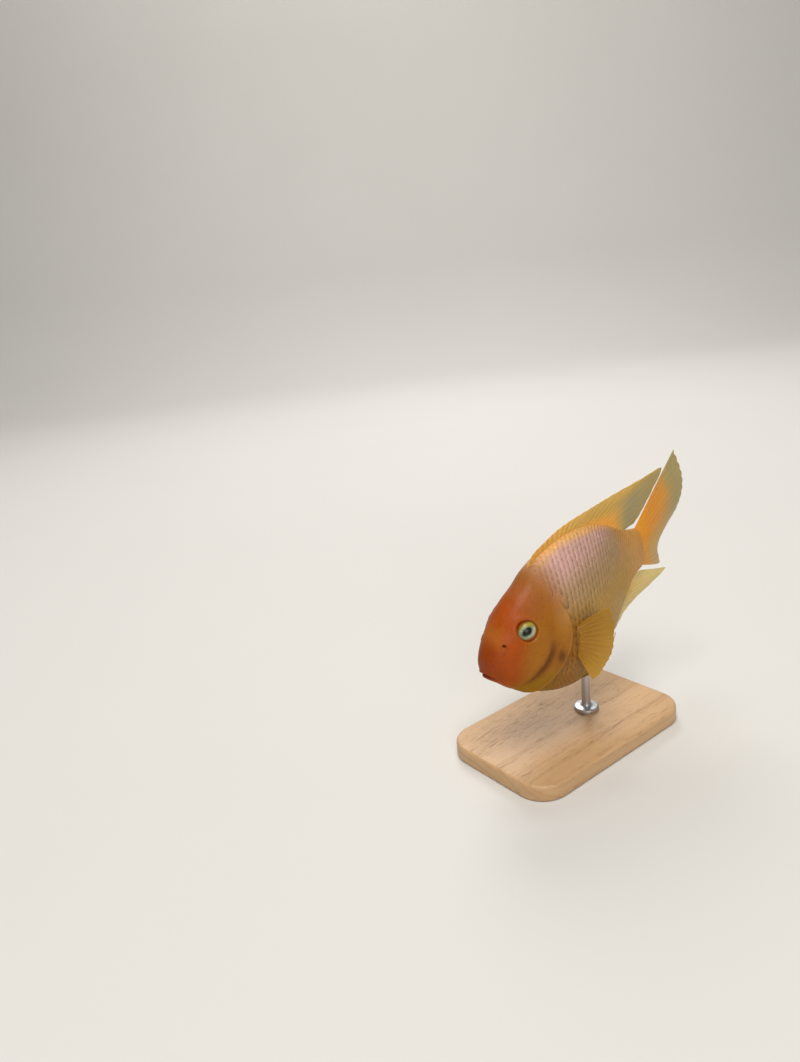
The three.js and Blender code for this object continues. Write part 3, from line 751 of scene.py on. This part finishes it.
def skinPlace(x, z, side):
    # share and turn of the place on the flank that is seen at x, z from the side
    share, step = np.meshgrid(np.linspace(0.02, 0.98, 481), np.linspace(0.02, 0.98, 193))
    share, turn = share.ravel(), side * math.pi * step.ravel()
    seen = barePoints(share, turn)
    best = np.argmin(np.hypot(seen[:, 0] - x, seen[:, 2] - z))
    return share[best:best + 1], turn[best:best + 1]


def makeEye(name, side, material):
    share, turn = skinPlace(fish["eye"][0] * length, fish["eye"][1] * length, side)
    outward = outwards(share, turn)[0]
    centre = barePoints(share, turn)[0] - outward * eye["depth"]
    deselectAll()
    bpy.ops.mesh.primitive_uv_sphere_add(segments=96, ring_count=64)
    ball = bpy.context.object
    ball.name = name
    local = np.array([vertex.co for vertex in ball.data.vertices])
    face = np.hypot(local[:, 0], local[:, 1])
    bulge = np.where(local[:, 2] > 0, eye["cornea"] * (1 - smooth(face, 0.0, 0.75)), 0)
    size = np.array([eye["radius"], eye["radius"], eye["halfThick"]])
    local = local * size
    local[:, 2] += bulge
    upward = np.array([0.0, 0.0, 1.0])
    upward -= outward * (upward @ outward)
    upward /= np.linalg.norm(upward)
    across = np.cross(upward, outward)
    points = local @ np.stack([across, upward, outward]) + centre
    ball.data.vertices.foreach_set("co", onStand(points).ravel())
    nameMarks(ball.data, "eyeBack", (points - centre) @ across * -side)
    nameMarks(ball.data, "eyeUp", (points - centre) @ upward)
    bpy.ops.object.shade_smooth()
    ball.data.update()
    finished(ball, ["eye_left" if side < 0 else "eye_right"], material)


eyeLook = {
    "dark": tint(110, 124, 92),
    "light": tint(178, 184, 148),
    "pale": tint(200, 204, 176),  # below and behind
    "gold": tint(160, 142, 44),  # above
    "pupilEdge": tint(96, 110, 88),
    "irisEdge": tint(126, 104, 44),
    "skin": tint(150, 66, 12),
    "pupil": tint(14, 19, 14),
}


def eyeFinish():
    look = eyeLook
    finish = Finish("eye")
    back, up = finish.attribute("eyeBack"), finish.attribute("eyeUp")
    angle = math.radians(eye["tilt"])

    def oval(half, middle):
        # 1 on an oval's rim, less inside
        right, high = back - middle[0], up - middle[1]
        along = (right * math.cos(angle) + high * math.sin(angle)) / half[0]
        across = (high * math.cos(angle) - right * math.sin(angle)) / half[1]
        return (along * along + across * across) ** 0.5

    place = finish.objectPlace()
    wobble = finish.noise(place, 420.0, 3.0) - 0.5
    radius = (back * back + up * up) ** 0.5 + 0.01
    rim = oval(eye["iris"], eye["irisAt"]) + wobble * 0.12
    pupil = oval(eye["pupil"], eye["pupilAt"]) + wobble * 0.3
    spokes = finish.noise(finish.join(back / radius, up / radius, radius * 0.03), 9.0, 4.0, 0.7)
    iris = finish.colour(look["dark"], look["light"], finish.step(spokes, 0.3, 0.7))
    iris = finish.colour(iris, look["pale"], finish.step(back - up, 0.5, 5.0) * 0.6)
    iris = finish.colour(iris, look["gold"], finish.step(up * 0.9 + back * 0.35, 0.8, 3.4))
    iris = finish.colour(iris, look["pupilEdge"], finish.fade(pupil, 1.45, 1.0) * 0.75)
    iris = finish.colour(iris, look["irisEdge"], finish.step(rim, 0.8, 0.98))
    iris = finish.colour(iris, look["skin"], finish.step(rim, 0.95, 1.1))
    iris = finish.colour(iris, look["pupil"], finish.fade(pupil, 1.06, 0.82))
    shader = finish.surface({
        "Base Color": iris,
        "Roughness": 0.3,
        "Normal": finish.relief(spokes, 0.0001),
        "Specular IOR Level": 0.2,
        "Coat Weight": 0.4,
        "Coat Roughness": 0.04,
        "Coat IOR": 1.35,
    })
    return finish.close(shader)


eyeMaterial = eyeFinish()
for eyeName, eyeSide in (("eyeLeft", -1), ("eyeRight", 1)):
    makeEye(eyeName, eyeSide, eyeMaterial)
print("eyes made")


# Fins: a grid bent to the fin's middle surface and given its thickness, thicker along its rays
def heightOn(line, x):
    steps = np.linspace(0, 1, 2000)
    curve = spline(line, steps)
    return np.interp(x, curve[:, 0], curve[:, 1])


def mix(first, second, share):
    return first + (second - first) * share


def middleFin(plan, u, v, between):
    x = mix(plan["rootFrom"], plan["rootTo"], u) * length
    root = np.stack([x, heightOn(plan["line"], x) + plan["inward"] * plan["sunk"]], 1)
    tip = spline(np.array(plan["edge"]) * length, plan["reach"](u))
    share = v * (1 - plan["notch"] * between)
    at = root + (tip - root) * share[:, None]
    side = tip - root
    lift = 0.02 * np.sin(v * math.pi) * plan["inward"]
    sway = plan["wave"] * v**1.5 * np.sin(u * plan["waves"] * 2 * math.pi + v * 2)
    return np.stack([at[:, 0] + side[:, 1] * lift, sway, at[:, 1] - side[:, 0] * lift], 1)


def dorsalReach(u):
    # where along the fin's edge the ray at u ends: spines, soft rays to the tip, then the rear edge
    spinesEnd, spinesReach, tip, tipReach = 0.55, 0.38, 0.82, 0.66
    spines = mix(0.01, spinesReach, u / spinesEnd)
    soft = mix(spinesReach, tipReach, smooth(u, spinesEnd, tip))
    rear = mix(tipReach, 1.0, np.clip((u - tip) / (1 - tip), 0, 1))
    return np.where(u < spinesEnd, spines, np.where(u < tip, soft, rear))


def analReach(u):
    tip, tipReach = 0.7, 0.667
    rear = mix(tipReach, 1.0, np.clip((u - tip) / (1 - tip), 0, 1))
    return np.where(u < tip, mix(0.02, tipReach, u / tip), rear)


def caudalPoints(plan, u, v, between):
    ray = spline(plan["fan"], u)
    fan = np.radians(ray[:, 0])
    reachAll = ray[:, 1] * v * (1 - plan["notch"] * between * v)
    swing = np.radians(ray[:, 2]) * v + 1e-6
    reach = reachAll * np.sin(swing) / swing - plan["inside"] * (1 - v)
    side = reachAll * (1 - np.cos(swing)) / swing
    side = side + plan["wave"] * v**1.5 * np.sin(u * plan["waves"] * 2 * math.pi + v * 2)
    rootZ = (1 - 2 * u) * plan["rootHalf"] * length
    x = length + plan["behind"] + reach * np.cos(fan)
    return np.stack([x, side, rootZ + reach * np.sin(fan)], 1)


pectoral = {
    "root": (0.363, -0.04),  # x and z, as shares of the length
    "rootHalf": 5.0,
    "rootBow": 1.5,
    "sunk": 3.0,
    "reach": 25.5,
    "shorter": (0.08, 0.25),  # of the first and last rays
    "fan": (18, -96),  # degrees, first and last ray
    "outward": (20, 30),  # degrees off the flank, root and edge
    "ripple": 0.35,
    "ripples": 2.5,
}


def pectoralPoints(plan, u, v, between):
    p = pectoral
    rootX, rootZ = p["root"]
    place = barePoints(*skinPlace(rootX * length, rootZ * length, plan["side"]))[0]
    fan = np.radians(mix(*p["fan"], u))
    shape = 1 - p["shorter"][1] * u**2 - p["shorter"][0] * (1 - u) ** 4
    reach = p["reach"] * shape * v * (1 - plan["notch"] * between * v)
    outward = np.radians(mix(*p["outward"], v))
    ripple = p["ripple"] * v**2 * np.sin(u * p["ripples"] * 2 * math.pi)
    x = place[0] + p["rootBow"] * (2 * u - 1) ** 2 + reach * np.cos(outward) * np.cos(fan)
    y = place[1] + plan["side"] * (reach * np.sin(outward) - p["sunk"] + ripple)
    z = place[2] + p["rootHalf"] * (1 - 2 * u) + reach * np.cos(outward) * np.sin(fan)
    return np.stack([x, y, z], 1)


def undersideAt(x, y):
    steps = np.linspace(0, 1, 2000)
    belly, back = spline(bellyLine, steps), spline(backLine, steps)
    low = np.interp(x, belly[:, 0], belly[:, 1])
    high = np.interp(x, belly[:, 0], back[:, 1])
    width = np.interp(x, belly[:, 0], spline(widthAndRound, steps)[:, 0])
    middle = mix(low, high, fish["widestShare"])
    power = fish["bellyRoundness"]
    return middle - (middle - low) * (1 - (np.abs(y) / width) ** power) ** (1 / power)


pelvic = {
    "root": 0.4,  # a share of the length
    "rootLong": 5.0,
    "reach": 35.0,
    "lastRay": 0.5,  # its share of that
    "aside": (8.5, 5.2),  # first and last ray from the middle of the belly
    "spread": 1.5,
    "hang": (-2.5, 3.8),  # under the belly, root and edge
    "hangBy": 1.6,
}


def pelvicPoints(plan, u, v, between):
    p = pelvic
    reach = p["reach"] * mix(1, p["lastRay"], u**0.8) * (1 - plan["notch"] * between * v)
    x = p["root"] * length + p["rootLong"] * u + reach * v
    y = mix(p["aside"][0] + p["spread"] * v, p["aside"][1], u)
    hang = mix(*p["hang"], np.minimum(1, p["hangBy"] * v) ** 0.7)
    return np.stack([x, plan["side"] * y, undersideAt(x, y) - hang], 1)


fins = {
    "finDorsal": {
        "node": "fin_dorsal", "points": middleFin, "rays": 28, "fine": 8, "rows": 60,
        "line": backLine, "inward": -1, "sunk": 4, "rootFrom": 0.345, "rootTo": 0.885,
        "edge": [
            (0.345, 0.272), (0.395, 0.322), (0.5, 0.338), (0.62, 0.342), (0.76, 0.334),
            (0.88, 0.319), (1.0, 0.305), (1.12, 0.292), (1.25, 0.277), (1.175, 0.217),
            (1.11, 0.175), (1.055, 0.142), (1.005, 0.122),
        ],
        "reach": dorsalReach, "notch": 0.015, "spines": 0.55, "root": 1.5, "wave": 0.4, "waves": 3,
    },
    "finAnal": {
        "node": "fin_anal", "points": middleFin, "rays": 15, "fine": 10, "rows": 48,
        "line": bellyLine, "inward": 1, "sunk": 4, "rootFrom": 0.65, "rootTo": 0.885,
        "edge": [
            (0.65, -0.292), (0.7, -0.3), (0.76, -0.272), (0.83, -0.238), (0.93, -0.222),
            (1.03, -0.216), (1.15, -0.2), (1.087, -0.164), (1.035, -0.137), (0.985, -0.112),
        ],
        "reach": analReach, "notch": 0.015, "spines": 0.35, "root": 1.4, "wave": 0.3, "waves": 2,
    },
    "finTail": {
        "node": "fin_caudal", "points": caudalPoints, "rays": 17, "fine": 12, "rows": 72,
        "fan": [  # angle over the body's axis, length and swing of nine rays, from the uppermost
            (33, 53.4, -2), (25, 51.5, -3), (17, 49.5, -3.5), (9.5, 47, 0), (2.5, 44, 9.5),
            (-4.5, 41, 23), (-12.5, 38.5, 36), (-22, 37.5, 42.5), (-32, 40.5, 40),
        ],
        "inside": 3.0, "behind": 0.3, "rootHalf": 0.093, "notch": 0.015, "spines": 0.0,
        "root": 2.7, "rootRound": 0.8, "wave": 0.3, "waves": 2.5,
    },
    "finPectoralLeft": {"node": "fin_pectoral_left", "points": pectoralPoints, "side": -1},
    "finPectoralRight": {"node": "fin_pectoral_right", "points": pectoralPoints, "side": 1},
    "finPelvicLeft": {"node": "fin_pelvic_left", "points": pelvicPoints, "side": -1},
    "finPelvicRight": {"node": "fin_pelvic_right", "points": pelvicPoints, "side": 1},
}
for finName, finPlan in fins.items():
    if "Pectoral" in finName:
        finPlan.update({"rays": 14, "fine": 10, "rows": 44, "notch": 0.015, "spines": 0.0, "root": 1.2})
    if "Pelvic" in finName:
        finPlan.update({"rays": 6, "fine": 10, "rows": 44, "notch": 0.004, "spines": 0.15, "root": 1.1})


finRays = {
    "width": 0.13,  # in gaps between rays
    "fork": 0.2,
    "forkFrom": (0.45, 1.0),  # shares of the way from root to edge
    "rise": (0.3, 0.05),  # at root and edge
    "riseFrom": (0.0, 0.12),
    "membrane": 0.14,  # half its thickness at the edge
}


def rayProfile(plan, u, v):
    # 1 on a ray and 0 between two, then 0 on a ray and 1 halfway; soft rays fork towards the edge
    place = u * (plan["rays"] - 1)
    off = np.abs(place - np.round(place))
    soft = np.where(u < plan["spines"], 0.0, 1.0)
    fork = finRays["fork"] * soft * smooth(v, *finRays["forkFrom"])
    near = np.minimum(np.abs(off - fork), np.abs(off + fork))
    return bump(near, finRays["width"]), off * 2


def makeFin(name, plan, material):
    deselectAll()
    columns = (plan["rays"] - 1) * plan["fine"]
    bpy.ops.mesh.primitive_grid_add(x_subdivisions=columns, y_subdivisions=plan["rows"], size=2)
    piece = bpy.context.object
    piece.name = name
    flat = np.array([vertex.co for vertex in piece.data.vertices])
    u = np.clip((flat[:, 0] + 1) / 2, 0, 1)
    v = np.clip((flat[:, 1] + 1) / 2, 0, 1)
    ray, between = rayProfile(plan, u, v)
    points = plan["points"](plan, u, v, np.sin(between * math.pi / 2) ** 2)
    piece.data.vertices.foreach_set("co", onStand(points).ravel())
    rounded = plan.get("rootRound", 0.0) * (1 - np.sqrt(1 - (2 * u - 1) ** 2))
    membrane = mix(plan["root"] * (1 - rounded), finRays["membrane"], v**0.4)
    ridge = mix(*finRays["rise"], v) * ray * smooth(v, *finRays["riseFrom"])
    half = membrane + ridge
    thickest = half.max()
    group = piece.vertex_groups.new(name="thickness")
    for index, weight in enumerate(half / thickest):
        group.add([index], float(weight), "REPLACE")
    nameMarks(piece.data, "ray", ray)
    nameMarks(piece.data, "outwardShare", v)
    nameMarks(piece.data, "alongFin", u)
    solidify = piece.modifiers.new("thickness", "SOLIDIFY")
    solidify.thickness = 2 * thickest / metre
    solidify.offset = 0
    solidify.vertex_group = "thickness"
    bpy.ops.object.modifier_apply(modifier="thickness")
    faceOutwards()
    bpy.ops.object.shade_smooth_by_angle(angle=math.radians(50))
    finished(piece, [plan["node"]], material)


# Each fin's colours from root to edge, and patches that lie between two shares along and out
finLooks = {
    "finDorsal": {
        "root": tint(238, 158, 54), "middle": tint(216, 170, 72), "edge": tint(232, 188, 92),
        "ray": tint(194, 142, 56), "thin": 0.8, "solid": 0.2,
        "patches": [
            (tint(238, 176, 76), (0.55, 0.2), (0.1, 0.4)),
            (tint(162, 150, 98), (0.66, 0.86), (0.12, 0.5)),
        ],
    },
    "finAnal": {
        "root": tint(206, 156, 66), "middle": tint(228, 198, 118), "edge": tint(234, 212, 138),
        "ray": tint(208, 168, 90), "thin": 0.72, "solid": 0.25, "patches": [],
    },
    "finTail": {
        "root": tint(224, 148, 40), "middle": tint(208, 158, 62), "edge": tint(196, 164, 80),
        "ray": tint(196, 128, 34), "thin": 0.8, "solid": 0.2,
        "patches": [
            (tint(160, 154, 100), (0.62, 0.4), (0.5, 0.9)),
            (tint(224, 146, 18), (0.56, 0.34), (0.86, 0.42)),
        ],
    },
    "finPaired": {
        "root": tint(160, 104, 8), "middle": tint(166, 116, 14), "edge": tint(178, 134, 34),
        "ray": tint(156, 104, 12), "thin": 0.8, "solid": 0.2, "patches": [],
    },
}


def finFinish(name):
    look = finLooks[name]
    finish = Finish(name)
    place = alongFish(finish)
    ray = finish.attribute("ray")
    drift = finish.noise(place, 11.0, 3.0) - 0.5
    out = finish.attribute("outwardShare") + drift * 0.2
    along = finish.attribute("alongFin") + drift * 0.08
    colour = finish.colour(look["root"], look["middle"], finish.step(out, 0.02, 0.4))
    colour = finish.colour(colour, look["edge"], finish.step(out, 0.4, 1.0))
    for patch, alongSpan, outSpan in look["patches"]:
        share = finish.fade(along, *alongSpan) * finish.fade(out, *outSpan)
        colour = finish.colour(colour, patch, share)
    colour = finish.colour(colour, look["ray"], ray * 0.3)
    streaks = finish.noise(finish.join(along * 60.0, out * 3.0, 0.0), 1.0, 4.0, 0.6)
    colour = finish.colour(colour, look["ray"], finish.step(streaks, 0.5, 0.8) * 0.25)
    membrane = finish.fade(out, 0.5, 0.0) * look["solid"] + look["thin"]
    alpha = membrane + ray * 0.2 + (streaks - 0.5) * 0.15
    joints = finish.add("ShaderNodeTexWave", {"wave_type": "BANDS"}, {
        "Vector": finish.join(out, 0.0, 0.0),
        "Scale": 14.0,
    }, out=1)
    normal = finish.relief(joints * ray, 0.00012)
    normal = finish.relief(streaks, 0.00015, normal)
    return finish.close(finish.surface({
        "Base Color": colour,
        "Roughness": 0.4 + streaks * 0.1,
        "Alpha": alpha,
        "Normal": normal,
        "Specular IOR Level": 0.35,
        "Subsurface Weight": 0.15,
        "Subsurface Radius": (1.0, 0.6, 0.2),
        "Subsurface Scale": 0.003,
        "Coat Weight": 0.15,
        "Coat Roughness": 0.25,
    }))


finMaterials = {name: finFinish(name) for name in finLooks}
for finName, finPlan in fins.items():
    makeFin(finName, finPlan, finMaterials.get(finName, finMaterials["finPaired"]))
print("fins made")


# Stand: an oak base with round corners and a turned steel rod
oak = {
    "light": tint(210, 172, 126),
    "dark": tint(188, 146, 100),
    "ring": tint(166, 122, 78),
    "vessel": tint(128, 88, 52),
    "heart": (0.021, -0.07),  # y and z of the tree's middle
}


def woodFinish():
    # growth rings about a line beside and below the board, so its ends show them as arcs
    finish = Finish("oak")
    place = finish.objectPlace()

    def stretched(along, across):
        return finish.add("ShaderNodeMapping", None, {"Vector": place, "Scale": (along, across, across)})

    x, y, z = finish.parts(place)
    sway = finish.noise(stretched(9.0, 26.0), 1.0, 3.0) - 0.5
    aside, below = y - oak["heart"][0], z - oak["heart"][1]
    radius = (aside * aside + below * below) ** 0.5 + sway * 0.006
    growth = finish.noise(finish.join(x * 2.0, radius * 420.0, 0.0), 1.0, 2.0)
    tone = finish.noise(stretched(10.0, 60.0), 1.0, 3.0)
    fibre = finish.noise(stretched(60.0, 2200.0), 1.0, 3.0)
    pores = finish.noise(stretched(150.0, 2600.0), 1.0, 1.0)
    colour = finish.colour(oak["dark"], oak["light"], tone)
    colour = finish.colour(colour, oak["ring"], finish.step(growth, 0.48, 0.72) * 0.5)
    vessels = finish.step(pores, 0.6, 0.72) * finish.step(growth, 0.35, 0.6)
    colour = finish.colour(colour, oak["vessel"], vessels * 0.6)
    normal = finish.relief(fibre, 0.00006)
    normal = finish.relief(1 - vessels, 0.00012, normal)
    return finish.close(finish.surface({
        "Base Color": colour,
        "Roughness": 0.42 + tone * 0.14,
        "Normal": normal,
        "Coat Weight": 0.15,
        "Coat Roughness": 0.3,
    }))


def steelFinish():
    finish = Finish("steel")
    place = finish.objectPlace()
    turned = finish.add("ShaderNodeMapping", None, {"Vector": place, "Scale": (4.0, 4.0, 260.0)})
    lines = finish.noise(turned, 30.0, 3.0)
    return finish.close(finish.surface({
        "Base Color": finish.colour(tint(176, 178, 182), tint(208, 209, 212), lines),
        "Metallic": 1.0,
        "Roughness": 0.34 + lines * 0.14,
        "Normal": finish.relief(lines, 0.00003),
    }))


base = {"corner": 0.016, "edge": 0.0015}
rod = {
    "share": 0.52,  # where it meets the belly, along the body
    "inside": 1.6,  # how far its top stands in the belly
    "sides": 72,
    # radius and height over the base, then the same under the top
    "foot": [
        (0.0, 0.0), (6.7, 0.0), (6.95, 0.25), (6.95, 1.7), (6.75, 2.2), (6.2, 2.45), (5.9, 2.5),
        (3.7, 2.55), (3.0, 2.8), (2.65, 3.3), (2.5, 4.2), (2.5, 6.0),
    ],
    "neck": [
        (2.5, 9.2), (2.5, 7.4), (2.35, 7.25), (2.35, 6.95), (2.5, 6.8), (2.5, 6.2), (2.35, 6.05),
        (2.35, 5.75), (2.5, 5.6), (2.5, 0.3), (2.2, 0.0), (0.0, 0.0),
    ],
}


def makeBase(material):
    low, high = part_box("stand_base")
    deselectAll()
    bpy.ops.mesh.primitive_cube_add(size=1, location=(low + high) / 2, scale=high - low)
    piece = bpy.context.object
    piece.name = "standBase"
    bpy.ops.object.transform_apply(location=True, rotation=True, scale=True)
    pickEdges(piece.data, lambda start, end: abs(start.z - end.z) > 0.001)
    bpy.ops.mesh.bevel(offset=base["corner"], segments=16, affect="EDGES")
    bpy.ops.object.mode_set(mode="OBJECT")
    rounded = piece.modifiers.new("edge", "BEVEL")
    rounded.width = base["edge"]
    rounded.segments = 4
    rounded.limit_method = "ANGLE"
    rounded.angle_limit = math.radians(40)
    bpy.ops.object.modifier_apply(modifier="edge")
    bpy.ops.object.shade_smooth_by_angle(angle=math.radians(35))
    finished(piece, ["stand_base"], material)


def makeRod(material):
    # a turned profile, from the base's top to just inside the belly
    x = rod["share"] * length
    belly = onStand([[x, 0, heightOn(bellyLine, np.array([x]))[0]]])[0] * metre
    low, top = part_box("stand_base")[1][2] * metre, belly[2] + rod["inside"]
    profile = [(radius, low + height) for radius, height in rod["foot"]]
    profile += [(radius, top - drop) for radius, drop in rod["neck"]]
    mesh = bpy.data.meshes.new("standRod")
    corners = [(radius / metre, 0, height / metre) for radius, height in profile]
    mesh.from_pydata(corners, [(i, i + 1) for i in range(len(corners) - 1)], [])
    piece = bpy.data.objects.new("standRod", mesh)
    bpy.context.scene.collection.objects.link(piece)
    deselectAll()
    bpy.context.view_layer.objects.active = piece
    piece.select_set(True)
    turned = piece.modifiers.new("turned", "SCREW")
    turned.angle = 2 * math.pi
    turned.steps = turned.render_steps = rod["sides"]
    turned.use_merge_vertices = True
    turned.merge_threshold = 0.00001
    bpy.ops.object.modifier_apply(modifier="turned")
    piece.location = (belly[0] / metre, 0, 0)
    bpy.ops.object.transform_apply(location=True)
    faceOutwards(merge=0.000005)
    bpy.ops.object.shade_smooth_by_angle(angle=math.radians(40))
    finished(piece, ["stand_rod"], material)


makeBase(woodFinish())
makeRod(steelFinish())
print("stand made")


# Stage, light and camera
stage = {
    "width": 18.0,
    "near": -2.4,
    "far": 2.8,
    "height": 3.2,
    "sweep": 1.1,
    "light": tint(216, 213, 207),
    "dark": tint(212, 209, 203),
}


def makeStage():
    # a floor that sweeps up into a wall, square to the camera
    deselectAll()
    depth = stage["far"] - stage["near"]
    middle = (0, (stage["far"] + stage["near"]) / 2, 0)
    bpy.ops.mesh.primitive_plane_add(size=1, location=middle)
    floor = bpy.context.object
    floor.name = "stageFloor"
    floor.scale = (stage["width"], depth, 1)
    bpy.ops.object.transform_apply(location=True, rotation=True, scale=True)

    def atFoot(start, end):
        # on the line between floor and wall
        return min(start.y, end.y) > stage["far"] - 0.01 and max(abs(start.z), abs(end.z)) < 0.01

    pickEdges(floor.data, atFoot)
    bpy.ops.mesh.extrude_region_move(TRANSFORM_OT_translate={"value": (0, 0, stage["height"])})
    bpy.ops.object.mode_set(mode="OBJECT")
    pickEdges(floor.data, atFoot)
    bpy.ops.mesh.bevel(offset=stage["sweep"], segments=20, affect="EDGES")
    bpy.ops.object.mode_set(mode="OBJECT")
    floor.rotation_euler = (0, 0, math.radians(camera["turn"][2]))
    bpy.ops.object.transform_apply(rotation=True)
    bpy.ops.object.shade_smooth()
    finish = Finish("stage")
    speck = finish.noise(finish.objectPlace(), 3.0, 2.0)
    floor.data.materials.append(finish.close(finish.surface({
        "Base Color": finish.colour(stage["light"], stage["dark"], speck),
        "Roughness": 0.8,
    })))


lights = {
    "above": {"place": (-0.5, -0.5, 2.2), "size": 1.3, "power": 35.0, "colour": (1.0, 0.98, 0.95)},
    "left": {"place": (-1.3, -1.9, 1.1), "size": 1.4, "power": 21.0, "colour": (1.0, 0.98, 0.96)},
    "behind": {"place": (0.9, 1.1, 1.4), "size": 0.9, "power": 11.0, "colour": (0.97, 0.98, 1.0)},
    "wall": {"place": (0.7, 0.9, 2.6), "size": 1.2, "power": 26.0, "colour": (1.0, 0.98, 0.96)},
}
fishMiddle, wallMiddle = (0, 0, 0.07), (1.8, 2.3, 1.0)


def makeLights():
    for name, plan in lights.items():
        deselectAll()
        bpy.ops.object.light_add(type="AREA", location=plan["place"])
        lamp = bpy.context.object
        lamp.name = "light" + name.capitalize()
        lamp.data.shape = "DISK"
        lamp.data.size = plan["size"]
        lamp.data.energy = plan["power"]
        lamp.data.color = plan["colour"]
        aim = Vector(wallMiddle if name == "wall" else fishMiddle) - Vector(plan["place"])
        lamp.rotation_euler = aim.to_track_quat("-Z", "Y").to_euler()
        lamp.visible_camera = False
    world = bpy.data.worlds.new("room")
    world.use_nodes = True
    world.node_tree.nodes["Background"].inputs["Color"].default_value = tint(236, 238, 240)
    world.node_tree.nodes["Background"].inputs["Strength"].default_value = 0.22
    bpy.context.scene.world = world


camera = {
    "place": (-0.29788, -0.27452, 0.25575),
    "turn": (72.479, 6.207, -37.622),  # degrees
    "lens": 27.12,  # of a 36 mm film's long side
}


def makeCamera():
    deselectAll()
    bpy.ops.object.camera_add(location=camera["place"])
    viewer = bpy.context.object
    viewer.rotation_euler = [math.radians(angle) for angle in camera["turn"]]
    viewer.data.lens = camera["lens"]
    viewer.data.sensor_width = 36
    viewer.data.clip_start = 0.01
    bpy.context.scene.camera = viewer


makeStage()
makeLights()
makeCamera()
bpy.context.scene.view_settings.view_transform = "Standard"
print("stage set")
